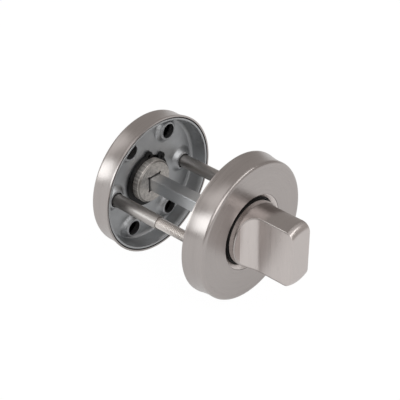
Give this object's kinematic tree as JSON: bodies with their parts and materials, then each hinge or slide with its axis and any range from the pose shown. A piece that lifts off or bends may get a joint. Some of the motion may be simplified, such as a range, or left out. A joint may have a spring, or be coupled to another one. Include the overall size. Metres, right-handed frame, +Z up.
{
  "type": "thumb turn",
  "caption": "Bathroom thumb turn and coin release: round satin roses held apart by through bolts with sleeve nuts and a square spindle, showing the pressed base plate and circlip.",
  "frame": {"origin": "on the spindle's axis, in the plane where the thumb-turn rose meets the door", "axes": "+Y along the spindle from the thumb turn to the release side, +Z up, +X along the line of the two through bolts"},
  "size_m": [0.052, 0.0726, 0.052],
  "materials": {
    "satin_steel": "satin, brushed round",
    "turn_steel": "satin",
    "machined_steel": "machined, matt",
    "zinc_plate": "zinc plated, pressed",
    "collar_steel": "satin",
    "black_nylon": "matt",
    "black_clip": "phosphated, matt",
    "spindle_steel": "drawn, satin",
    "bolt_steel": "zinc plated",
    "sleeve_steel": "zinc plated"
  },
  "bodies": {
    "rose_set": {"front_cover": "satin_steel", "front_base_plate": "zinc_plate", "front_collar": "collar_steel", "front_bush": "black_nylon", "left_bolt": "bolt_steel", "right_bolt": "bolt_steel", "left_sleeve_nut": "sleeve_steel", "right_sleeve_nut": "sleeve_steel", "rear_cover": "satin_steel", "rear_base_plate": "zinc_plate", "rear_collar": "collar_steel", "rear_bush": "black_nylon"},
    "turn": {"thumb_turn": "turn_steel", "spindle": "spindle_steel", "front_circlip": "black_clip"},
    "release": {"release_disc": "machined_steel", "rear_circlip": "black_clip"}
  },
  "joints": [
    {"name": "thumb_turn", "type": "hinge", "parent": "rose_set", "child": "turn", "pos_m": [0, 0, 0], "axis": [0, 1, 0], "range_deg": [-90, 90]},
    {"name": "release_turn", "type": "hinge", "parent": "rose_set", "child": "release", "pos_m": [0, 0.0345, 0], "axis": [0, 1, 0], "range_deg": [-90, 90]}
  ],
  "couplings": [
    {"joint": "release_turn", "follows": "thumb_turn", "ratio": 1}
  ]
}
